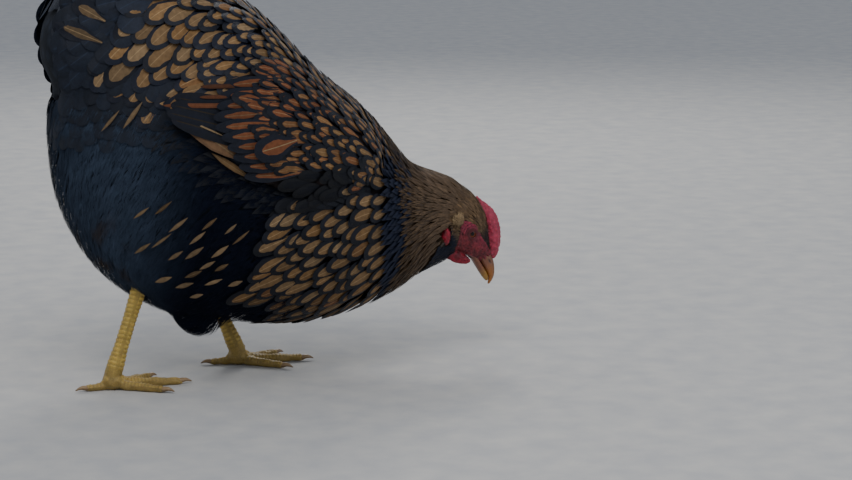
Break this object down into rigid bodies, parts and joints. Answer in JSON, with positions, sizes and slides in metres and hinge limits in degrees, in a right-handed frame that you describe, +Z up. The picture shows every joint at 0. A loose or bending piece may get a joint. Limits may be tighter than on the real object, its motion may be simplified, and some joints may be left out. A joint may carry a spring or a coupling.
{
  "type": "hen",
  "caption": "Still, life-size laced hen with a rose comb, foraging with her head down and her rear raised, standing in stride on two bare feet.",
  "frame": {"origin": "middle of the bounding box, on the floor under the feet", "axes": "+X ahead of the hen, +Y to her left, +Z up"},
  "size_m": [0.4548, 0.2386, 0.4387],
  "materials": {
    "plumage": "soft black feathers with a blue-green sheen, each laced round a golden-brown centre",
    "hackle": "narrow golden-brown feathers with a black stripe",
    "red_skin": "bare, finely grained red skin",
    "comb_skin": "soft pinkish-red skin, slightly waxy",
    "horn": "smooth yellow horn, darker on the ridge",
    "claw": "smooth pale horn",
    "scales": "dry yellow scales",
    "eye": "wet, reddish brown with a black pupil"
  },
  "bodies": {
    "root": {"beak_lower": "horn", "beak_upper": "horn", "claw_left_hind": "claw", "claw_left_inner": "claw", "claw_left_middle": "claw", "claw_left_outer": "claw", "claw_right_hind": "claw", "claw_right_inner": "claw", "claw_right_middle": "claw", "claw_right_outer": "claw", "comb": "comb_skin", "earlobe_left": "red_skin", "earlobe_right": "red_skin", "eye_left": "eye", "eye_right": "eye", "foot_left": "scales", "foot_right": "scales", "head": "red_skin", "neck": "hackle", "shank_left": "scales", "shank_right": "scales", "tail": "plumage", "thigh_left": "plumage", "thigh_right": "plumage", "trunk": "plumage", "wattle_left": "red_skin", "wattle_right": "red_skin", "wing_left": "plumage", "wing_right": "plumage"}
  },
  "joints": []
}
